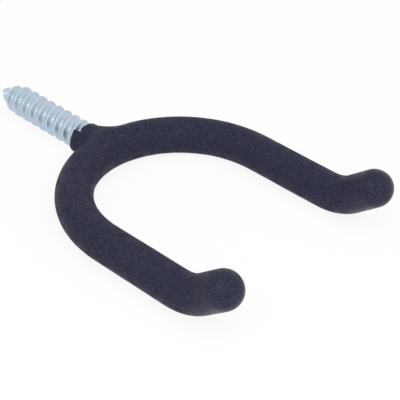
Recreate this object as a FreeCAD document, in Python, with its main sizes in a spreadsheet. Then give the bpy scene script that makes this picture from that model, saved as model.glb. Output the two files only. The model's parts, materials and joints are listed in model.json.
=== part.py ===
import FreeCAD, Part
import Sketcher
import math
import os

# Garage utility hook: a two-pronged fork bent from steel rod, a lag screw welded to the back
# of its bend, and a soft vinyl skin dipped over the fork and up to the screw's thread.
# The origin is on the screw's axis, in the plane of the skin's lip, where the hook meets the
# wall. +Y runs into the wall, the prongs run along -Y, and their tips turn up towards +Z.

# Driving sizes, in millimetres and degrees
SIZES = {
    "stock_diameter": 6.35,    # steel stock of the fork, and the crest of the screw's thread
    "coat_thickness": 0.65,    # vinyl skin on the fork
    "fork_radius": 21.85,      # centre line of the fork's bend
    "prong_length": 17.9,      # straight run of each prong
    "tip_bend_radius": 10.3,   # centre line of the bend that turns a tip up
    "tip_angle": 39,           # how far a tip turns up from the prong
    "tip_length": 5.75,        # straight run of a tip, up to its dome
    "collar_length": 3.45,     # from the fork's skin to the lip
    "lip_wall": 0.275,         # skin over the screw's crest at the lip
    "lip_rounding": 0.12,      # rounded outer edge of the lip
    "collar_blend": 1.6,       # hollow blend from the collar into the fork's skin
    "screw_length": 25.0,      # from the lip to the screw's point
    "point_length": 5.8,       # cone at the screw's end
    "point_blunting": 0.3,     # radius of the small flat on the point
    "shank_step": 0.375,       # how much smaller in radius the rolled shank is than the crest
    "runout_length": 0.8,      # taper from the crest down to the shank
}

# Sizes that follow from them
ROD_RADIUS = "Sizes.stock_diameter / 2"
COAT_RADIUS = f"({ROD_RADIUS} + Sizes.coat_thickness)"
COLLAR_RADIUS = f"({ROD_RADIUS} + Sizes.lip_wall)"
SHANK_RADIUS = f"({ROD_RADIUS} - Sizes.shank_step)"
APEX_SETBACK = f"({COAT_RADIUS} + Sizes.collar_length)"
BEND_SETBACK = f"({APEX_SETBACK} + Sizes.fork_radius)"
PRONG_SETBACK = f"({BEND_SETBACK} + Sizes.prong_length)"
TIP_SETBACK = f"({PRONG_SETBACK} + Sizes.tip_bend_radius * sin(Sizes.tip_angle))"
TIP_HEIGHT = "Sizes.tip_bend_radius * (1 - cos(Sizes.tip_angle))"
THREAD_END = "(Sizes.screw_length - Sizes.point_length)"
BLEND_RADIUS = "min(Sizes.collar_blend; Sizes.collar_length / 2)"
ROUNDING_RADIUS = "min(Sizes.lip_rounding; Sizes.lip_wall / 2)"

# The numbers by which a sketch knows the points of a line or an arc, and its own origin and axes
START = 1
END = 2
CENTRE = 3
ROOT = (-1, START)
HORIZONTAL_AXIS = -1
VERTICAL_AXIS = -2

NEAR = 0.001  # two places closer than this are one place

doc = FreeCAD.newDocument("UtilityHook")


def make_sheet():
    sheet = doc.addObject("Spreadsheet::Sheet", "Sizes")
    for row, (name, value) in enumerate(SIZES.items(), start=1):
        sheet.set(f"A{row}", name)
        sheet.set(f"B{row}", str(value))
        sheet.setAlias(f"B{row}", name)
    doc.recompute()
    return sheet


def origin_feature(body, role):
    return next(f for f in body.Origin.OriginFeatures if f.Role == role)


def add_sketch(body, name, plane, offsets):
    """A sketch on an origin plane, with its attachment offset bound to sizes."""
    sketch = body.newObject("Sketcher::SketchObject", name)
    sketch.AttachmentSupport = [(origin_feature(body, plane), "")]
    sketch.MapMode = "FlatFace"
    for direction, expression in offsets.items():
        sketch.setExpression(f"AttachmentOffset.{direction}", expression)
    return sketch


def constrain(sketch, *arguments):
    return sketch.addConstraint(Sketcher.Constraint(*arguments))


def measure(sketch, name, expression, *arguments):
    """Add a measuring constraint, name it and tie it to the sheet."""
    index = constrain(sketch, *arguments, 1.0)
    sketch.renameConstraint(index, name)
    sketch.setExpression(f"Constraints.{name}", expression)


def add_line(sketch, start, end, construction=False):
    line = Part.LineSegment(FreeCAD.Vector(*start, 0), FreeCAD.Vector(*end, 0))
    return sketch.addGeometry(line, construction)


def add_circle(sketch, radius, across=None):
    """A circle round the sketch's origin, or on its horizontal axis a distance across from it."""
    circle = sketch.addGeometry(Part.Circle(), False)
    measure(sketch, "radius", radius, "Radius", circle)
    if across is None:
        constrain(sketch, "Coincident", circle, CENTRE, *ROOT)
    else:
        constrain(sketch, "PointOnObject", circle, CENTRE, HORIZONTAL_AXIS)
        measure(sketch, "across", across, "DistanceX", *ROOT, circle, CENTRE)


def add_turning_line(sketch, across):
    """The line, level with a tip bend's centre, about which the prong's section turns up."""
    line = add_line(sketch, (1, 1), (0, 1), construction=True)
    constrain(sketch, "Horizontal", line)
    constrain(sketch, "PointOnObject", line, END, VERTICAL_AXIS)
    measure(sketch, "reach", across, "DistanceX", line, END, line, START)
    measure(sketch, "height", "Sizes.tip_bend_radius", "DistanceY", *ROOT, line, END)


def draw_domed_bar(sketch, radius):
    """Half of a round bar along the horizontal axis, ending in a dome of its own radius."""
    foot = add_line(sketch, (0, 0), (0, 1))
    side = add_line(sketch, (0, 1), (2, 1))
    circle = Part.Circle(FreeCAD.Vector(2, 0, 0), FreeCAD.Vector(0, 0, 1), 1)
    dome = sketch.addGeometry(Part.ArcOfCircle(circle, 0, math.pi / 2), False)
    axis = add_line(sketch, (3, 0), (0, 0))
    constrain(sketch, "Coincident", foot, START, *ROOT)
    constrain(sketch, "Coincident", foot, END, side, START)
    constrain(sketch, "Coincident", side, END, dome, END)
    constrain(sketch, "Coincident", dome, START, axis, START)
    constrain(sketch, "Coincident", axis, END, *ROOT)
    constrain(sketch, "Vertical", foot)
    constrain(sketch, "Horizontal", side)
    constrain(sketch, "Horizontal", axis)
    constrain(sketch, "PointOnObject", dome, CENTRE, HORIZONTAL_AXIS)
    constrain(sketch, "Vertical", dome, CENTRE, dome, END)
    measure(sketch, "radius", radius, "Radius", dome)
    measure(sketch, "straight", "Sizes.tip_length", "DistanceX", side, START, side, END)


def draw_screw_half(sketch):
    """Half of the screw along the vertical axis: shank, run-out, crest, cone, blunt point."""
    # The corners in order, roughly placed: the sizes below settle where they go
    corners = [(0, -3), (2, -3), (2, -1), (3, 0), (3, 2), (1, 3), (0, 3)]
    lines = [add_line(sketch, *pair) for pair in zip(corners, corners[1:] + corners[:1])]
    for line, following in zip(lines, lines[1:] + lines[:1]):
        constrain(sketch, "Coincident", line, END, following, START)
    end, shank, runout, crest, cone, point, axis = lines
    for line in (shank, crest, axis):
        constrain(sketch, "Vertical", line)
    for line in (end, point):
        constrain(sketch, "Horizontal", line)
    constrain(sketch, "PointOnObject", end, START, VERTICAL_AXIS)
    constrain(sketch, "PointOnObject", crest, START, HORIZONTAL_AXIS)
    measure(sketch, "shank_radius", SHANK_RADIUS, "DistanceX", *ROOT, shank, END)
    measure(sketch, "crest_radius", ROD_RADIUS, "DistanceX", *ROOT, crest, START)
    measure(sketch, "blunting", "Sizes.point_blunting", "DistanceX", *ROOT, point, START)
    measure(sketch, "setback", APEX_SETBACK, "DistanceY", shank, START, *ROOT)
    measure(sketch, "runout", "Sizes.runout_length", "DistanceY", shank, END, *ROOT)
    measure(sketch, "threaded", THREAD_END, "DistanceY", *ROOT, crest, END)
    measure(sketch, "length", "Sizes.screw_length", "DistanceY", *ROOT, point, START)


def revolve(body, name, profile, axis, angle):
    feature = body.newObject("PartDesign::Revolution", name)
    feature.Profile = profile
    feature.ReferenceAxis = (profile, [axis])
    feature.setExpression("Angle", angle)
    return feature


def pad(body, name, profile, length):
    feature = body.newObject("PartDesign::Pad", name)
    feature.Profile = profile
    feature.setExpression("Length", length)
    return feature


def fillet(body, name, base, edges, radius):
    feature = body.newObject("PartDesign::Fillet", name)
    feature.Base = (base, edges)
    feature.setExpression("Radius", radius)
    doc.recompute()
    return feature


def cut(name, base, tool):
    result = doc.addObject("Part::Cut", name)
    result.Base = base
    result.Tool = tool
    result.Label = name
    doc.recompute()
    return result


def add_fork(name, radius):
    """The fork at a radius about the rod's centre line: bend, two prongs, turned-up tips."""
    across = "Sizes.fork_radius"
    body = doc.addObject("PartDesign::Body", name)

    section = add_sketch(body, "bend_section", "XZ_Plane", {"Base.z": BEND_SETBACK})
    add_circle(section, radius, across)
    revolve(body, "bend", section, "V_Axis", "180")
    prong = pad(body, "prong", section, "Sizes.prong_length")

    turning = add_sketch(body, "tip_bend_section", "XZ_Plane", {"Base.z": PRONG_SETBACK})
    add_circle(turning, radius, across)
    add_turning_line(turning, across)
    tip_bend = revolve(body, "tip_bend", turning, "Axis0", "Sizes.tip_angle")

    tip_start = {
        "Base.x": f"-{TIP_SETBACK}",
        "Base.y": TIP_HEIGHT,
        "Base.z": across,
        "Rotation.Angle": "(180 - Sizes.tip_angle) * 1 deg",
    }
    profile = add_sketch(body, "tip_profile", "YZ_Plane", tip_start)
    draw_domed_bar(profile, radius)
    tip = revolve(body, "tip", profile, "H_Axis", "360")

    twin = body.newObject("PartDesign::Mirrored", "second_prong")
    twin.Originals = [prong, tip_bend, tip]
    twin.MirrorPlane = (origin_feature(body, "YZ_Plane"), [""])
    body.Tip = twin
    doc.recompute()
    return body


def add_screw_blank():
    """The lag screw at the crest of its thread, from the rod's centre line to its point."""
    body = doc.addObject("PartDesign::Body", "screw_blank")
    profile = add_sketch(body, "screw_profile", "XY_Plane", {})
    draw_screw_half(profile)
    revolve(body, "turned_blank", profile, "V_Axis", "360")
    doc.recompute()
    return body


def edges_round_collar(shape, radius, keep):
    """Names of the edges that lie on the collar's round wall and that keep accepts."""
    names = []
    for number, edge in enumerate(shape.Edges, start=1):
        places = [vertex.Point for vertex in edge.Vertexes]
        places.append(edge.valueAt((edge.FirstParameter + edge.LastParameter) / 2))
        on_wall = all(abs(math.hypot(p.x, p.z) - radius) < NEAR for p in places)
        if on_wall and keep(edge.BoundBox):
            names.append(f"Edge{number}")
    return names


def add_skin(sheet):
    """The outside of the dipped skin: the fork, and a collar blended into the back of its bend."""
    body = add_fork("skin_outside", COAT_RADIUS)
    lip = add_sketch(body, "lip", "XZ_Plane", {})
    add_circle(lip, COLLAR_RADIUS)
    collar = pad(body, "collar", lip, APEX_SETBACK)
    doc.recompute()

    radius = sheet.stock_diameter / 2 + sheet.lip_wall
    root_edges = edges_round_collar(collar.Shape, radius, lambda box: box.YMax < -NEAR)
    blend = fillet(body, "collar_root", collar, root_edges, BLEND_RADIUS)
    lip_edges = edges_round_collar(blend.Shape, radius, lambda box: box.YMin > -NEAR)
    fillet(body, "lip_edge", blend, lip_edges, ROUNDING_RADIUS)
    return body


def check(nodes):
    """Stop if any feature failed, or if a node isn't one valid solid."""
    for feature in doc.Objects:
        if "Invalid" in feature.State or "Error" in feature.State:
            raise RuntimeError(f"{feature.Name} failed: {feature.State}")
    for node in nodes:
        shape = node.Shape
        if shape.isNull() or not shape.isValid() or len(shape.Solids) != 1:
            raise RuntimeError(f"{node.Label} is not one valid solid")
        print(f"{node.Label}: {shape.Volume:.1f} mm3, {len(shape.Faces)} faces")


def main():
    sheet = make_sheet()
    fork_rod = add_fork("fork_rod", ROD_RADIUS)
    # The shank's end is coped to the round of the rod that it is welded to
    lag_screw = cut("lag_screw", add_screw_blank(), fork_rod)
    # The skin's inside is the outside of the steel that was dipped
    dipped_fork = cut("skin_over_fork", add_skin(sheet), fork_rod)
    vinyl_skin = cut("vinyl_skin", dipped_fork, lag_screw)

    nodes = [fork_rod, lag_screw, vinyl_skin]
    check(nodes)
    os.makedirs("parts", exist_ok=True)
    for node in nodes:
        node.Shape.exportStep(f"parts/{node.Label}.step")


main()
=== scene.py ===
# %% [markdown]
# # A dipped garage hook
# The hook is a fork of steel rod in a soft charcoal vinyl skin, with a zinc-plated lag screw at the
# back of its bend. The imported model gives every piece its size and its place, so it is loaded first
# and kept as the frame that all the looks are built around.

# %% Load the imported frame
import json
import math

import bmesh
import bpy
from mathutils import Matrix, Vector, noise


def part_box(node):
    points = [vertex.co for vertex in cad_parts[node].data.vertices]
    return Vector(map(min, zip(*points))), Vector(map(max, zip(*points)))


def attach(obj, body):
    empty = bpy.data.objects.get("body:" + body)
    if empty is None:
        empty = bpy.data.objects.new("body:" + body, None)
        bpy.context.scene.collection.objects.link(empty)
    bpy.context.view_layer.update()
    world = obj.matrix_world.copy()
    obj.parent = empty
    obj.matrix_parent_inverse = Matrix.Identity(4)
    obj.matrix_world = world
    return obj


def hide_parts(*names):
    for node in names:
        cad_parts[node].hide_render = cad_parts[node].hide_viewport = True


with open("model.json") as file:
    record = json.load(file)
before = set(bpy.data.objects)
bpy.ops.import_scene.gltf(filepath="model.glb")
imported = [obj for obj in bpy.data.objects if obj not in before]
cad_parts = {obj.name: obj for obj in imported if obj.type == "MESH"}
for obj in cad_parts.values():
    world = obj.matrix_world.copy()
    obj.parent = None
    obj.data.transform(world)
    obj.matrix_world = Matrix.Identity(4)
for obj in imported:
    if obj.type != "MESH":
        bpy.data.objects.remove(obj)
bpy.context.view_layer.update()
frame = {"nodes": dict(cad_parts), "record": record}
print("nodes:", sorted(frame["nodes"]))

# %% [markdown]
# The pieces are modelled in millimetres, as on a drawing, and scaled to Blender's metres when they
# are done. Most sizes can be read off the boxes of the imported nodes, so they follow the frame: the
# lowest point of the skin, for one, is one coat radius below the rod's centre line.

# %% Read the main sizes off the frame, in millimetres
MM = 0.001  # a millimetre, in metres


def node_box(name):
    """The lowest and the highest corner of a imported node, in millimetres."""
    low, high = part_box(name)
    return low / MM, high / MM


skin_low, skin_high = node_box("vinyl_skin")
rod_low, rod_high = node_box("fork_rod")
wall_screw = frame["record"]["mounts"][0]["dims"]

rod_radius = -rod_low.z
coat_radius = -skin_low.z
fork_radius = skin_high.x - coat_radius  # centre line of the bend
apex_y = rod_high.y - rod_radius         # centre line at the back of the bend
bend_y = apex_y - fork_radius            # centre of the bend
crest_radius = wall_screw["r_mm"]
cone_start = wall_screw["length_mm"]
point_y = node_box("lag_screw")[1].y
print(f"rod {2 * rod_radius:.2f}, coat {2 * coat_radius:.2f}, bend {fork_radius:.2f} mm")

# %% [markdown]
# ## Camera
# The photograph looks down on the hook from the left, over its tips, so that the screw points away.
# The angles, the distance and the lens come from fitting a camera to the hook's outline. The picture
# is also turned a little about its own middle, so the camera is rolled by as much.

# %% Set the camera where the photograph was taken
VIEW_AZIMUTH = math.radians(-49.53)
VIEW_ELEVATION = math.radians(35.89)
VIEW_ROLL = math.radians(3.40)
VIEW_DISTANCE = 278.4               # from the camera to the point that it aims at
AIM_ACROSS, AIM_UP = 18.86, -10.11  # that point in the picture, from the back of the bend
LENS, SENSOR_WIDTH = 122.5, 36      # focal length, and the width of the picture behind the lens

across = Vector((math.cos(VIEW_AZIMUTH), math.sin(VIEW_AZIMUTH), 0))
towards_camera = Vector((
    math.sin(VIEW_AZIMUTH) * math.cos(VIEW_ELEVATION),
    -math.cos(VIEW_AZIMUTH) * math.cos(VIEW_ELEVATION),
    math.sin(VIEW_ELEVATION),
))
roll = Matrix.Rotation(VIEW_ROLL, 3, towards_camera)
across = roll @ across
upwards = towards_camera.cross(across)
aim = Vector((0, apex_y, 0)) + AIM_ACROSS * across + AIM_UP * upwards

camera = bpy.data.objects.new("camera", bpy.data.cameras.new("camera"))
camera.data.lens = LENS
camera.data.sensor_width = SENSOR_WIDTH
camera.data.clip_start = 0.01
camera.matrix_world = (
    Matrix.Translation((aim + VIEW_DISTANCE * towards_camera) * MM)
    @ Matrix((across, upwards, towards_camera)).transposed().to_4x4()
)
bpy.context.scene.collection.objects.link(camera)
bpy.context.scene.camera = camera
print("camera at", [round(value, 4) for value in camera.location])

# %% [markdown]
# ## Studio
# The photograph is a catalogue picture on plain white, with soft light from all round. Floor, world
# and finishes are all node trees. These could be put together by hand in the shader editor, but a
# script is easier to read when one short helper adds a node, sets it and links it.

# %% Build materials from short lists of nodes
bpy.context.scene.view_settings.view_transform = "Standard"


def new_tree(data):
    """An empty node tree on a material, a world or the like."""
    data.use_nodes = True
    data.node_tree.nodes.clear()
    return data.node_tree


def add_node(tree, kind, settings=None, **inputs):
    """A node with its settings, and with its inputs linked to sockets or set to values.

    An input goes by its name, with _ for a space, or by its place, as in i0.
    """
    node = tree.nodes.new(f"ShaderNode{kind}")
    for name, value in (settings or {}).items():
        setattr(node, name, value)
    for name, value in inputs.items():
        by_place = name[1:].isdigit()
        socket = node.inputs[int(name[1:]) if by_place else name.replace("_", " ")]
        if isinstance(value, bpy.types.NodeSocket):
            tree.links.new(value, socket)
        else:
            socket.default_value = value
    return node


def seen_directly(tree):
    """1 for rays from the camera, and for rays that a shiny or clear surface sends on."""
    path = add_node(tree, "LightPath")
    shiny = add_node(tree, "Math", {"operation": "MAXIMUM"},
                     i0=path.outputs["Is Camera Ray"], i1=path.outputs["Is Glossy Ray"])
    clear = add_node(tree, "Math", {"operation": "MAXIMUM"},
                     i0=shiny.outputs[0], i1=path.outputs["Is Transmission Ray"])
    return clear.outputs[0]


print("view transform:", bpy.context.scene.view_settings.view_transform)

# %% [markdown]
# A pale floor lies under the fork. It would take so much lamp light to make it pure white that the hook
# would be washed out. So for the camera and for reflections the floor mixes in some white glow, and
# still keeps part of the hook's shadow. The world does the same: it looks white, but gives less light.

# %% White ground under the hook
FLOOR_SIZE = 4.0    # metres
FLOOR_SHADE = 0.94  # how much light the floor throws back
FLOOR_GLOW = 0.88   # share of plain white that the camera sees in the floor

floor_paint = bpy.data.materials.new("pale_floor")
tree = new_tree(floor_paint)
matte = add_node(tree, "BsdfDiffuse", Color=(FLOOR_SHADE, FLOOR_SHADE, FLOOR_SHADE, 1))
white = add_node(tree, "Emission", Color=(1, 1, 1, 1), Strength=1.0)
glow = add_node(tree, "Math", {"operation": "MULTIPLY"}, i0=seen_directly(tree), i1=FLOOR_GLOW)
ground = add_node(tree, "MixShader", i0=glow.outputs[0], i1=matte.outputs[0], i2=white.outputs[0])
add_node(tree, "OutputMaterial", Surface=ground.outputs[0])

bm = bmesh.new()
bmesh.ops.create_grid(bm, x_segments=1, y_segments=1, size=FLOOR_SIZE / 2,
                      matrix=Matrix.Translation((0, 0, skin_low.z * MM)))
floor = bpy.data.objects.new("floor", bpy.data.meshes.new("floor"))
bm.to_mesh(floor.data)
bm.free()
floor.data.materials.append(floor_paint)
bpy.context.scene.collection.objects.link(floor)
print("floor at", round(skin_low.z, 3), "mm")

# %% White all round, with less light
AMBIENT = 0.54  # share of the white that lights the hook

world = bpy.data.worlds.new("studio")
bpy.context.scene.world = world
tree = new_tree(world)
around = add_node(tree, "Background", Color=(1, 1, 1, 1), Strength=AMBIENT)
backdrop = add_node(tree, "Background", Color=(1, 1, 1, 1), Strength=1.0)
sky = add_node(tree, "MixShader", i0=seen_directly(tree), i1=around.outputs[0], i2=backdrop.outputs[0])
add_node(tree, "OutputWorld", Surface=sky.outputs[0])
print("light from all round:", AMBIENT)

# %% [markdown]
# The world alone would light the rod too evenly. A softbox above the camera gives it some shade, and
# a card close to the tips lifts the near end. Both are kept out of reflections, where they would show
# as white bands along the thread. A smaller softbox on the left is the one that is reflected: it
# makes the small lights in the thread and on the tips.

# %% Soft lamps round the camera
HOOK_MIDDLE = Vector((0, -0.02, 0))  # metres


def add_softbox(name, direction, distance, size, power, reflected=False):
    """A square area lamp that faces the hook."""
    lamp = bpy.data.objects.new(name, bpy.data.lights.new(name, "AREA"))
    lamp.data.size = size
    lamp.data.energy = power
    direction = Vector(direction).normalized()
    lamp.location = HOOK_MIDDLE + distance * direction
    lamp.rotation_mode = "QUATERNION"
    lamp.rotation_quaternion = direction.to_track_quat("Z", "Y")
    lamp.visible_glossy = reflected
    bpy.context.scene.collection.objects.link(lamp)
    print(f"{name}: {power} W, {size} m wide")


add_softbox("front_softbox", (-0.2, -0.45, 0.85), 0.6, 0.5, 1.8)
add_softbox("left_softbox", (-0.69, -0.05, 0.72), 0.55, 0.22, 0.36, reflected=True)
add_softbox("near_card", (-0.55, -0.8, 0.25), 0.17, 0.15, 0.08)

# %% [markdown]
# ## Lag screw
# The screw's thread is rolled into the stock: a hollow root, flanks at 60 degrees to each other and
# a narrow crest, ten turns to the inch and right-handed. Such a thread could be cut from a bar by a
# swept tool, but it is easier to sweep the outline of a single turn along a helix. The outline is drawn
# with sharp corners first, and a bevel then rounds the roots widely and the crests a little.

# %% Draw one pitch of the thread's outline
PITCH = 25.4 / 10
THREAD_DEPTH = 0.385 * PITCH
ROOT_FLAT = 0.36 * PITCH
FLANK_ANGLE = math.radians(30)   # from square to the axis
ROOT_ROUNDING = 0.42             # how far from its corner the hollow of the root begins
CREST_ROUNDING = 0.09
LONG_EDGE = 0.3                  # edges of the outline that are longer than this are divided
CREST_PLACE = 1.04               # where a crest passes straight above the axis, along the screw
TURNS_BEFORE = 2.5               # how far before that crest the sweep begins, in the middle of a root
root_radius = crest_radius - THREAD_DEPTH
flank_run = THREAD_DEPTH * math.tan(FLANK_ANGLE)


def add_chain(bm, points):
    """Vertices joined one after another by edges."""
    verts = [bm.verts.new(point) for point in points]
    for start, end in zip(verts, verts[1:]):
        bm.edges.new((start, end))
    return verts


screw_bm = bmesh.new()
thread_start = CREST_PLACE - TURNS_BEFORE * PITCH
corners = add_chain(screw_bm, [
    (0, thread_start, root_radius),
    (0, thread_start + ROOT_FLAT / 2, root_radius),
    (0, thread_start + ROOT_FLAT / 2 + flank_run, crest_radius),
    (0, thread_start + PITCH - ROOT_FLAT / 2 - flank_run, crest_radius),
    (0, thread_start + PITCH - ROOT_FLAT / 2, root_radius),
    (0, thread_start + PITCH, root_radius),
])
root_corners, crest_corners = [corners[1], corners[4]], corners[2:4]
for rounded, offset, segments in ((root_corners, ROOT_ROUNDING, 5), (crest_corners, CREST_ROUNDING, 3)):
    bmesh.ops.bevel(screw_bm, geom=rounded, offset=offset, segments=segments, profile=0.5,
                    affect="VERTICES", clamp_overlap=True, material=-1)
long_edges = [edge for edge in screw_bm.edges if edge.calc_length() > LONG_EDGE]
bmesh.ops.subdivide_edges(screw_bm, edges=long_edges, cuts=3)
print(f"outline of one pitch: {len(screw_bm.verts)} points, root {root_radius:.2f} mm")

# %% [markdown]
# Spin turns the outline round the screw's axis, and when each step also moves it along the axis, the
# path is a helix. Because the outline is exactly one pitch long, each turn meets the next one edge to
# edge, and merging the doubled vertices makes them one surface.

# %% Sweep it along the helix
TURN_STEPS = 72
TURNS = 12

bmesh.ops.spin(screw_bm, geom=screw_bm.verts[:] + screw_bm.edges[:], cent=(0, 0, 0), axis=(0, 1, 0),
               dvec=(0, PITCH / TURN_STEPS, 0), angle=TURNS * math.tau, steps=TURNS * TURN_STEPS)
bmesh.ops.remove_doubles(screw_bm, verts=screw_bm.verts, dist=0.002)
bmesh.ops.recalc_face_normals(screw_bm, faces=screw_bm.faces)
print("swept thread:", len(screw_bm.faces), "faces")

# %% [markdown]
# The thread runs on over the cone and gets lower towards the point: its root goes straight down to
# the point, and its crest bows out a little. Under the skin the thread runs out into the rolled
# shank. Both only say how far from the axis a vertex may be, so each vertex is moved in or out. How
# deep in the groove it lies is kept as an attribute, for the painted shade in the finish.

# %% Taper the point, and run the thread out into the shank
POINT_BLUNTING = 0.3                 # radius of the small end of the point
POINT_ROUNDING = 0.12                # how far the end is domed
ROOT_CURVE, CREST_CURVE = 1.0, 1.55  # 1 is a straight cone, more bows out
SHANK_STEP = 0.375                   # how far the plain shank lies below the crests
RUNOUT = (-2.2, -1.3)                # from plain shank to full thread, along the screw
shank_radius = crest_radius - SHANK_STEP


def ease(start, end, value):
    """A smooth step from 0 at start to 1 at end."""
    share = min(max((value - start) / (end - start), 0), 1)
    return share * share * (3 - 2 * share)


def tapered(radius, place, curve):
    """A radius of the thread at a place along the screw, brought down to the point."""
    share = min(max((place - cone_start) / (point_y - cone_start), 0), 1)
    return radius - (radius - POINT_BLUNTING) * share ** curve


groove = screw_bm.verts.layers.float.new("groove")
for vert in screw_bm.verts:
    place = vert.co.y
    radius = math.hypot(vert.co.x, vert.co.z)
    height = (radius - root_radius) / THREAD_DEPTH
    low = tapered(root_radius, place, ROOT_CURVE)
    threaded = low + height * (tapered(crest_radius, place, CREST_CURVE) - low)
    fullness = ease(*RUNOUT, place)
    vert[groove] = (1 - height) * fullness
    vert.co *= Vector((1, 0, 1)) * (shank_radius + (threaded - shank_radius) * fullness) / radius
    vert.co.y = place
print("point", round(point_y - cone_start, 2), "mm long")

# %% [markdown]
# The swept thread is cut square at both ends, which leaves two open loops. They could be filled with
# flat faces, but the real point is a little blunt, so that loop is drawn in ring by ring to a small
# dome. The other end is drawn in to the shank's radius and coped to the round of the rod, where it
# is welded.

# %% Close both ends
POINT_TURNS = [math.radians(turn) for turn in (0, 30, 60)]  # rings of the point's dome
SHANK_CUT = -2.5                 # where the swept thread stops, inside the skin
SHANK_RINGS = (1, 0.7, 0.35)     # rings that close the shank, as shares of its radius
WELD_DEPTH = 0.05                # how far the shank's end sinks into the rod


def cut_square(bm, place, direction):
    """Cut across the axis and return the edges of the open end."""
    cut = bmesh.ops.bisect_plane(
        bm, geom=bm.verts[:] + bm.edges[:] + bm.faces[:], dist=0.0001,
        plane_co=(0, place, 0), plane_no=(0, direction, 0), clear_outer=True)
    return [item for item in cut["geom_cut"] if isinstance(item, bmesh.types.BMEdge)]


def grow_loop(bm, edges):
    """Extrude a loop of edges in place and return the new loop's edges and vertices."""
    grown = bmesh.ops.extrude_edge_only(bm, edges=edges)["geom"]
    verts = [item for item in grown if isinstance(item, bmesh.types.BMVert)]
    fresh = set(verts)
    edges = [item for item in grown
             if isinstance(item, bmesh.types.BMEdge) and set(item.verts) <= fresh]
    return edges, verts


def rod_surface(x, z):
    """How far along the screw the back of the rod is, at a place across it."""
    reach = fork_radius + math.sqrt(rod_radius ** 2 - z ** 2)
    return bend_y + math.sqrt(reach ** 2 - x ** 2)


loop = cut_square(screw_bm, point_y - POINT_ROUNDING, 1)
for before, after in zip(POINT_TURNS, POINT_TURNS[1:]):
    loop, verts = grow_loop(screw_bm, loop)
    share = math.cos(after) / math.cos(before)
    bmesh.ops.scale(screw_bm, vec=(share, 1, share), verts=verts)
    rise = math.sin(after) - math.sin(before)
    bmesh.ops.translate(screw_bm, vec=(0, rise * POINT_ROUNDING, 0), verts=verts)
bmesh.ops.pointmerge(screw_bm, verts=grow_loop(screw_bm, loop)[1], merge_co=(0, point_y, 0))

loop = cut_square(screw_bm, SHANK_CUT, -1)
for share in SHANK_RINGS:
    loop, verts = grow_loop(screw_bm, loop)
    reach = max(math.hypot(vert.co.x, vert.co.z) for vert in verts)
    narrowing = share * shank_radius / reach
    bmesh.ops.scale(screw_bm, vec=(narrowing, 1, narrowing), verts=verts)
    for vert in verts:
        vert.co.y = rod_surface(vert.co.x, vert.co.z) - WELD_DEPTH
bmesh.ops.pointmerge(screw_bm, verts=grow_loop(screw_bm, loop)[1],
                     merge_co=(0, rod_surface(0, 0) - WELD_DEPTH, 0))
bmesh.ops.recalc_face_normals(screw_bm, faces=screw_bm.faces)
open_edges = [edge for edge in screw_bm.edges if len(edge.link_faces) != 2]
print("screw:", len(screw_bm.faces), "faces, open edges:", len(open_edges))

# %% [markdown]
# ## Vinyl skin
# The fork was heated and dipped in liquid vinyl, which set to one even skin with no seam, thicker
# where it ran together round the foot of the screw. The tips turn up in a short bend. How far they
# reach is worked out first, because the straight run of a prong is what is left of its length.

# %% Sizes of the fork's tips
TIP_BEND_RADIUS = 10.3
TIP_ANGLE = math.radians(39)
TIP_LENGTH = 5.75
RING_SIDES = 56
BEND_STEPS = 120
TIP_STEPS = 16
DOME_STEPS = 10
tip_direction = Vector((0, -math.cos(TIP_ANGLE), math.sin(TIP_ANGLE)))
tip_reach = TIP_BEND_RADIUS * math.sin(TIP_ANGLE) + TIP_LENGTH * math.cos(TIP_ANGLE) + coat_radius
prong_end_y = skin_low.y + tip_reach
print(f"straight run of a prong: {bend_y - prong_end_y:.2f} mm")

# %% [markdown]
# The skin could be lofted along a curve. But the rod is all arcs and straight runs, so a ring of edges
# is spun round each bend and extruded along each straight, as the rod itself was bent, and the tips
# are closed with domes. The same function makes the rod, later, from a smaller ring.

# %% Spin and extrude the fork
def each_once(items):
    """The items without repeats, in an order that is the same on every run, as a set's isn't."""
    return list(dict.fromkeys(items))


def loop_parts(geometry):
    """The vertices and the edges in a bmesh operator's result."""
    verts = [item for item in geometry if isinstance(item, bmesh.types.BMVert)]
    edges = [item for item in geometry if isinstance(item, bmesh.types.BMEdge)]
    return verts, edges


def add_dome(bm, loop, radius, direction):
    """Close a round end with a half ball."""
    verts = each_once(vert for edge in loop for vert in edge.verts)
    centre = sum((vert.co for vert in verts), Vector()) / len(verts)
    turns = [math.pi / 2 * step / DOME_STEPS for step in range(DOME_STEPS + 1)]
    for before, after in zip(turns[:-2], turns[1:-1]):
        loop, verts = grow_loop(bm, loop)
        share = math.cos(after) / math.cos(before)
        bmesh.ops.scale(bm, vec=(share, share, share), verts=verts,
                        space=Matrix.Translation(-centre - direction * radius * math.sin(before)))
        bmesh.ops.translate(bm, verts=verts,
                            vec=direction * radius * (math.sin(after) - math.sin(before)))
    bmesh.ops.pointmerge(bm, verts=grow_loop(bm, loop)[1], merge_co=centre + direction * radius)


def add_prong(bm, loop, radius, side):
    """From the end of the bend: straight run, turned-up tip and dome."""
    loop, verts = grow_loop(bm, loop)
    bmesh.ops.translate(bm, vec=(0, prong_end_y - bend_y, 0), verts=verts)
    turned = bmesh.ops.spin(bm, geom=verts + loop, angle=-TIP_ANGLE, steps=TIP_STEPS, axis=(1, 0, 0),
                            cent=(side * fork_radius, prong_end_y, TIP_BEND_RADIUS))
    loop, verts = grow_loop(bm, loop_parts(turned["geom_last"])[1])
    bmesh.ops.translate(bm, vec=tip_direction * TIP_LENGTH, verts=verts)
    add_dome(bm, loop, radius, tip_direction)


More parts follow.
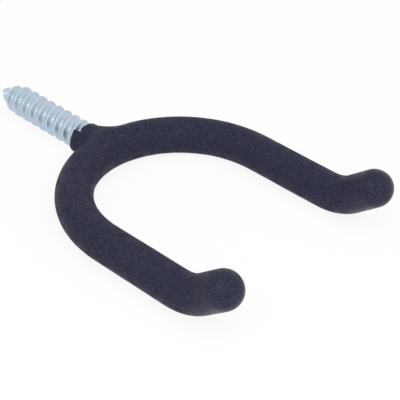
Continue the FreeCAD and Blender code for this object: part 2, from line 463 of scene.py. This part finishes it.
def add_fork(bm, radius):
    """The fork as one closed tube of a radius round the rod's centre line."""
    upright = Matrix.Translation((fork_radius, bend_y, 0)) @ Matrix.Rotation(math.pi / 2, 4, "X")
    ring = bmesh.ops.create_circle(bm, segments=RING_SIDES, radius=radius, matrix=upright)["verts"]
    first = each_once(edge for vert in ring for edge in vert.link_edges)
    bend = bmesh.ops.spin(bm, geom=ring + first, angle=math.pi, steps=BEND_STEPS,
                          cent=(0, bend_y, 0), axis=(0, 0, 1))
    last = loop_parts(bend["geom_last"])[1]
    add_prong(bm, first, radius, 1)
    add_prong(bm, last, radius, -1)
    bmesh.ops.recalc_face_normals(bm, faces=bm.faces)


skin_bm = bmesh.new()
add_fork(skin_bm, coat_radius)
print("fork tube:", len(skin_bm.faces), "faces")

# %% [markdown]
# Round the foot of the screw the vinyl stands up in a short collar. Collar and fork overlap as two
# closed shapes, and a voxel remesh makes them one even surface. That is the quickest way to a mesh
# that can then be pulled and smoothed anywhere, like wet vinyl, without minding how the two meet.

# %% Join the collar to the fork
LIP_WALL = 0.275   # how far the collar stands out from the thread's crests
VOXEL = 0.25
collar_radius = crest_radius + LIP_WALL


def draft_object(bm):
    """A throw-away object, in millimetres, for a modifier to work on or with."""
    draft = bpy.data.objects.new("draft", bpy.data.meshes.new("draft"))
    bm.to_mesh(draft.data)
    bpy.context.scene.collection.objects.link(draft)
    return draft


def remove_draft(draft):
    """Take a throw-away object and its mesh out of the file."""
    mesh = draft.data
    bpy.data.objects.remove(draft)
    bpy.data.meshes.remove(mesh)


def through_modifiers(bm, *modifiers):
    """The shape that a stack of modifiers makes of a bmesh, as a new bmesh."""
    draft = draft_object(bm)
    bm.free()
    for kind, settings in modifiers:
        modifier = draft.modifiers.new(kind.lower(), kind)
        for name, value in settings.items():
            setattr(modifier, name, value)
    result = bmesh.new()
    result.from_object(draft, bpy.context.evaluated_depsgraph_get())
    remove_draft(draft)
    return result


def in_collar(vert):
    """Whether a vertex is in the part of the collar that needs a finer mesh."""
    return vert.co.y > apex_y / 2 and vert.co.xz.length < coat_radius


along_screw = Matrix.Translation((0, apex_y / 2, 0)) @ Matrix.Rotation(-math.pi / 2, 4, "X")
bmesh.ops.create_cone(skin_bm, cap_ends=True, segments=RING_SIDES, radius1=collar_radius,
                      radius2=collar_radius, depth=-apex_y, matrix=along_screw)
skin_bm = through_modifiers(skin_bm, ("REMESH", {"mode": "VOXEL", "voxel_size": VOXEL}))
collar_edges = [edge for edge in skin_bm.edges if all(map(in_collar, edge.verts))]
bmesh.ops.subdivide_edges(skin_bm, edges=collar_edges, cuts=1, use_grid_fill=True)
print("remeshed skin:", len(skin_bm.faces), "faces")

# %% [markdown]
# Where the collar meets the fork, the vinyl ran into the corner. The corner is nearly sharp on the
# near side and widely filled on the far one, so a bevel of one width wouldn't do. Instead the vertices
# round it are moved along their normals on to a smooth union of the two shapes, a rounded minimum of
# the distances to both, whose width changes round the collar.

# %% Run the collar and the fork together
BROAD_SIDE = math.radians(44)   # side of the collar, from straight up towards +X
FILL_WIDTH = (0.4, 3.2)         # how widely vinyl fills the corner opposite that side, and on it
FILL_FADE = (-0.5, -1.5)        # between these places along the screw the filling takes hold
FILL_STEPS = 4


def fill_depth(place):
    """How far outside the filled corner between collar and fork a place is."""
    collar = math.hypot(place.x, place.z) - collar_radius
    fork = math.hypot(math.hypot(place.x, place.y - bend_y) - fork_radius, place.z) - coat_radius
    broadness = 0.5 + 0.5 * math.cos(math.atan2(place.x, place.z) - BROAD_SIDE)
    width = FILL_WIDTH[0] + broadness * (FILL_WIDTH[1] - FILL_WIDTH[0])
    overlap = max(width - abs(collar - fork), 0) / width
    return min(collar, fork) - overlap ** 2 * width / 4


corner = [vert for vert in skin_bm.verts
          if apex_y < vert.co.y < FILL_FADE[0] and abs(vert.co.x) < 3 * collar_radius]
for _ in range(FILL_STEPS):
    skin_bm.normal_update()
    for vert in corner:
        vert.co -= vert.normal * fill_depth(vert.co) * ease(*FILL_FADE, vert.co.y)
print("corner:", len(corner), "vertices moved")

# %% [markdown]
# The skin's lip isn't cut square. The vinyl ran along the thread before it set, so the lip stands
# further out on the near and low side, where it is also thicker, and drops by more than a millimetre
# at a notch on top, where a crest comes through. A few heights round the collar give that shape, with
# smooth steps between them.

# %% Shape the lip
LIP_HEIGHTS = [  # degrees round the screw from straight up towards +X, and how far out the lip is
    (-37, -1.30), (-26, -0.85), (44, -0.90), (134, -0.30), (224, 0.55),
    (285, 0.34), (312, 0.34), (319, 0.80), (323, -1.30),
]
LIP_ROOT = (-3.0, -0.5)   # between these places along the screw the lip's shape takes hold
LOBE_SIDE = math.radians(-125)
LOBE_SWELL = 0.3          # how much thicker the lip is on that side


def turn_of(place):
    """Degrees round the screw, from straight up towards +X, counted from the notch on."""
    notch = LIP_HEIGHTS[0][0]
    return (math.degrees(math.atan2(place.x, place.z)) - notch) % 360 + notch


def lip_height(turn):
    """How far out the lip is at a turn round the screw."""
    for (start, low), (end, high) in zip(LIP_HEIGHTS, LIP_HEIGHTS[1:]):
        if start <= turn <= end:
            return low + (high - low) * ease(start, end, turn)


for vert in skin_bm.verts:
    if vert.co.y > LIP_ROOT[0] and vert.co.xz.length < collar_radius + 3 * VOXEL:
        hold = ease(*LIP_ROOT, vert.co.y)
        turn = turn_of(vert.co)
        swell = LOBE_SWELL * hold * max(math.cos(math.radians(turn) - LOBE_SIDE), 0) ** 2
        vert.co.y += lip_height(turn) * hold
        vert.co.xz *= 1 + swell / collar_radius
heights = [height for _, height in LIP_HEIGHTS]
print(f"lip from {min(heights)} to {max(heights)} mm")

# %% [markdown]
# Wet vinyl has no edges, and the voxels left small steps. Smoothing moves each vertex towards the
# middle of its neighbours. A few passes take the steps off the whole skin, and a few more round the
# lip but keep its notch.

# %% Smooth the lip and the whole skin
SKIN_PASSES = 3
LIP_PASSES = 3
LIP_FOOT = -1.8   # the lip, from here outwards, is smoothed once more


def smooth(bm, verts):
    """Move vertices half the way to the middle of their neighbours."""
    bmesh.ops.smooth_vert(bm, verts=verts, factor=0.5,
                          use_axis_x=True, use_axis_y=True, use_axis_z=True)


for _ in range(SKIN_PASSES):
    smooth(skin_bm, skin_bm.verts)
lip = [vert for vert in skin_bm.verts if vert.co.y > LIP_FOOT and vert.co.xz.length > root_radius]
for _ in range(LIP_PASSES):
    smooth(skin_bm, lip)
print("lip:", len(lip), "vertices smoothed")

# %% [markdown]
# A dipped skin is never quite even. A slow noise moves the surface by a few hundredths of a
# millimetre along its normals, which is too little to see as lumps, but breaks up the straight
# edges of the shading.

# %% Let the skin be a little uneven
SWELLS = [(7.0, 0.035), (1.6, 0.012)]   # how wide and how high, in millimetres

skin_bm.normal_update()
for vert in skin_bm.verts:
    vert.co += vert.normal * sum(high * noise.noise(vert.co / wide) for wide, high in SWELLS)
print("swells up to", sum(high for _, high in SWELLS), "mm")

# %% [markdown]
# So far the skin is a solid lump. The steel that was dipped is taken out of it with two booleans,
# so the wall gets its true thickness, the bore takes the print of the thread, and the lip ends
# exactly where vinyl and metal meet.

# %% Take the steel out of the skin
rod_bm = bmesh.new()
add_fork(rod_bm, rod_radius)
rod_draft = draft_object(rod_bm)
rod_bm.free()
screw_draft = draft_object(screw_bm)
skin_bm = through_modifiers(skin_bm, *[
    ("BOOLEAN", {"operation": "DIFFERENCE", "solver": "EXACT", "object": steel})
    for steel in (rod_draft, screw_draft)
])
remove_draft(rod_draft)
remove_draft(screw_draft)
bmesh.ops.remove_doubles(skin_bm, verts=skin_bm.verts, dist=0.0005)
open_edges = [edge for edge in skin_bm.edges if len(edge.link_faces) != 2]
print("hollow skin:", len(skin_bm.faces), "faces, open edges:", len(open_edges))

# %% [markdown]
# Both meshes are now scaled to metres and shaded smooth, except across edges sharper than 60 degrees,
# such as the rim where the skin ends on the metal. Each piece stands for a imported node, which the
# frame then hides.

# %% Turn both into finished pieces
SHARP_ANGLE = math.radians(60)


def finish_piece(name, bm, node):
    """Scale a piece to metres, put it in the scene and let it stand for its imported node."""
    bmesh.ops.scale(bm, vec=(MM, MM, MM), verts=bm.verts)
    mesh = bpy.data.meshes.new(name)
    bm.to_mesh(mesh)
    bm.free()
    mesh.shade_smooth()
    mesh.set_sharp_from_angle(angle=SHARP_ANGLE)
    piece = bpy.data.objects.new(name, mesh)
    bpy.context.scene.collection.objects.link(piece)
    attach(piece, "root")
    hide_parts(node)
    mesh.calc_loop_triangles()
    print(f"{name}: {len(mesh.loop_triangles)} triangles")
    return piece


threaded_screw = finish_piece("threaded_lag_screw", screw_bm, "lag_screw")
dipped_skin = finish_piece("dipped_vinyl_skin", skin_bm, "vinyl_skin")

# %% [markdown]
# ## Finishes
# All three finishes are patterns on Object coordinates. The pieces sit at the origin, so these are
# metres in the frame, and a noise of scale 1000 has details about a millimetre wide.
#
# The vinyl is matte and finely grained. The grain could be sculpted, but it is finer than any mesh here,
# so one fine noise makes both its mottled charcoal and, as a bump, its pores.

# %% Grain of the vinyl
GRAIN_SCALE = 2600
DARK_VINYL, LIGHT_VINYL = (0.006, 0.007, 0.016), (0.037, 0.037, 0.073)
PORE_DEPTH = 0.00006   # metres


def shade_between(tree, factor, low, high):
    """A colour ramp between two shades."""
    ramp = add_node(tree, "ValToRGB", Fac=factor)
    ramp.color_ramp.elements[0].color = (*low, 1)
    ramp.color_ramp.elements[1].color = (*high, 1)
    return ramp


def noise_on(tree, scale, detail, roughness=0.55):
    """A noise on a piece's own coordinates, mostly between 0.3 and 0.7."""
    place = add_node(tree, "TexCoord")
    pattern = add_node(tree, "TexNoise", Vector=place.outputs["Object"], Scale=scale, Detail=detail,
                       Roughness=roughness)
    return pattern.outputs["Fac"]


def level(tree, factor, low, high):
    """A noise's middle range, spread from low to high."""
    spread = add_node(tree, "MapRange", i0=factor, i1=0.3, i2=0.7, i3=low, i4=high)
    return spread.outputs[0]


vinyl = bpy.data.materials.new("matte_dipped_vinyl")
tree = new_tree(vinyl)
grain = noise_on(tree, GRAIN_SCALE, 3, 0.65)
charcoal = shade_between(tree, level(tree, grain, 0, 1), DARK_VINYL, LIGHT_VINYL)
pores = add_node(tree, "Bump", Strength=0.5, Distance=PORE_DEPTH, Height=grain)
print(f"grain about {1 / GRAIN_SCALE / MM:.2f} mm wide")

# %% [markdown]
# A slower noise varies the skin's roughness, and the tips, where the vinyl ran together and levelled,
# are smoother. A few specks of lint lie on it. They could be small meshes, but at a third of a
# millimetre the middles of some cells of a Voronoi pattern do as well.

# %% Smoother tips and lint
VINYL_ROUGHNESS = (0.45, 0.75)
SMOOTH_TIPS = (-0.052, -0.058)   # metres along Y, from the rough prong to the smooth tip
SMOOTH_SHARE = 0.55              # what is left of the roughness there
LINT_SCALE = 900
LINT_CHANCE = 0.045              # share of the cells that have a speck
LINT_RADIUS = 0.16               # of a cell's width
LINT_COLOUR = (0.075, 0.075, 0.095, 1)

place = add_node(tree, "TexCoord")
along = add_node(tree, "SeparateXYZ", Vector=place.outputs["Object"])
smoother = add_node(tree, "MapRange", i0=along.outputs["Y"], i1=SMOOTH_TIPS[0], i2=SMOOTH_TIPS[1],
                    i3=1.0, i4=SMOOTH_SHARE)
dull = add_node(tree, "Math", {"operation": "MULTIPLY"},
                i0=level(tree, noise_on(tree, 500, 2), *VINYL_ROUGHNESS), i1=smoother.outputs[0])
cells = add_node(tree, "TexVoronoi", Vector=place.outputs["Object"], Scale=LINT_SCALE)
chance = add_node(tree, "SeparateColor", Color=cells.outputs["Color"])
few = add_node(tree, "Math", {"operation": "GREATER_THAN"}, i0=chance.outputs[0], i1=1 - LINT_CHANCE)
small = add_node(tree, "Math", {"operation": "LESS_THAN"}, i0=cells.outputs["Distance"], i1=LINT_RADIUS)
lint = add_node(tree, "Math", {"operation": "MULTIPLY"}, i0=few.outputs[0], i1=small.outputs[0])
dusty = add_node(tree, "Mix", {"data_type": "RGBA"}, i0=lint.outputs[0], i6=charcoal.outputs[0],
                 i7=LINT_COLOUR)
surface = add_node(tree, "BsdfPrincipled", Base_Color=dusty.outputs[2], Roughness=dull.outputs[0],
                   Specular_IOR_Level=0.15, Normal=pores.outputs[0])
add_node(tree, "OutputMaterial", Surface=surface.outputs[0])
dipped_skin.data.materials.clear()
dipped_skin.data.materials.append(vinyl)
print(f"finish: {vinyl.name}, lint about {2 * LINT_RADIUS / LINT_SCALE / MM:.2f} mm wide")

# %% [markdown]
# Zinc plate is bright and bluish, with faint clouds of green and lavender, and the bottom of the
# thread is darkened with painted shade. An image could show that too, but noise has no seams on a helix.
# Shallow dimples and an uneven roughness keep the reflections from looking like chrome.

# %% Bright zinc plate
GREENISH_ZINC, LAVENDER_ZINC = (0.48, 0.615, 0.66), (0.56, 0.625, 0.76)
ZINC_ROUGHNESS = (0.33, 0.45)
# painted shade: the zinc gets darker towards the bottom of the thread
GROOVE_SHADE_COLOUR = (0.16, 0.19, 0.23, 1)
GROOVE_SHADE_SHARE = 0.15         # how much painted shade darkens the bottom of the thread
GROOVE_SHADE_DEPTHS = (0.7, 1.0)  # shares of the groove's depth, from no painted shade to all of it
DIMPLE_DEPTH = 0.00003     # metres

zinc = bpy.data.materials.new("bright_zinc")
tree = new_tree(zinc)
clouds = shade_between(tree, level(tree, noise_on(tree, 450, 3), 0, 1), GREENISH_ZINC, LAVENDER_ZINC)
depth = add_node(tree, "Attribute", {"attribute_name": "groove"})
# painted shade: the deeper in the groove, the darker the zinc
groove_shade = add_node(tree, "MapRange", i0=depth.outputs["Fac"], i1=GROOVE_SHADE_DEPTHS[0], i2=GROOVE_SHADE_DEPTHS[1],
                 i3=0.0, i4=GROOVE_SHADE_SHARE)
zinc_and_groove_shade = add_node(tree, "Mix", {"data_type": "RGBA"}, i0=groove_shade.outputs[0], i6=clouds.outputs[0],
                i7=GROOVE_SHADE_COLOUR)
dimples = add_node(tree, "Bump", Strength=0.3, Distance=DIMPLE_DEPTH, Height=noise_on(tree, 1800, 2))
surface = add_node(tree, "BsdfPrincipled", Base_Color=zinc_and_groove_shade.outputs[2], Metallic=1.0,
                   Roughness=level(tree, noise_on(tree, 700, 2), *ZINC_ROUGHNESS),
                   Normal=dimples.outputs[0])
add_node(tree, "OutputMaterial", Surface=surface.outputs[0])
threaded_screw.data.materials.clear()
threaded_screw.data.materials.append(zinc)
print("finish:", zinc.name)

# %% [markdown]
# The rod inside is plain drawn bar. The skin hides it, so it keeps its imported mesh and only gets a
# finish, with the blotchy marks that drawing and bending leave.

# %% Drawn steel rod
DARK_STEEL, LIGHT_STEEL = (0.40, 0.40, 0.41), (0.56, 0.56, 0.58)
STEEL_ROUGHNESS = (0.35, 0.5)

steel = bpy.data.materials.new("drawn_steel")
tree = new_tree(steel)
scale_marks = shade_between(tree, level(tree, noise_on(tree, 600, 4), 0, 1), DARK_STEEL, LIGHT_STEEL)
surface = add_node(tree, "BsdfPrincipled", Base_Color=scale_marks.outputs[0], Metallic=1.0,
                   Roughness=level(tree, noise_on(tree, 1500, 2), *STEEL_ROUGHNESS))
add_node(tree, "OutputMaterial", Surface=surface.outputs[0])
fork_rod = frame["nodes"]["fork_rod"]
fork_rod.data.materials.clear()
fork_rod.data.materials.append(steel)
print("finish:", steel.name)

# %% [markdown]
# The looks must not make the hook larger than it was packed, apart from a hair of swell in the skin.

# %% End of the dressed hook
print("dressed hook done")
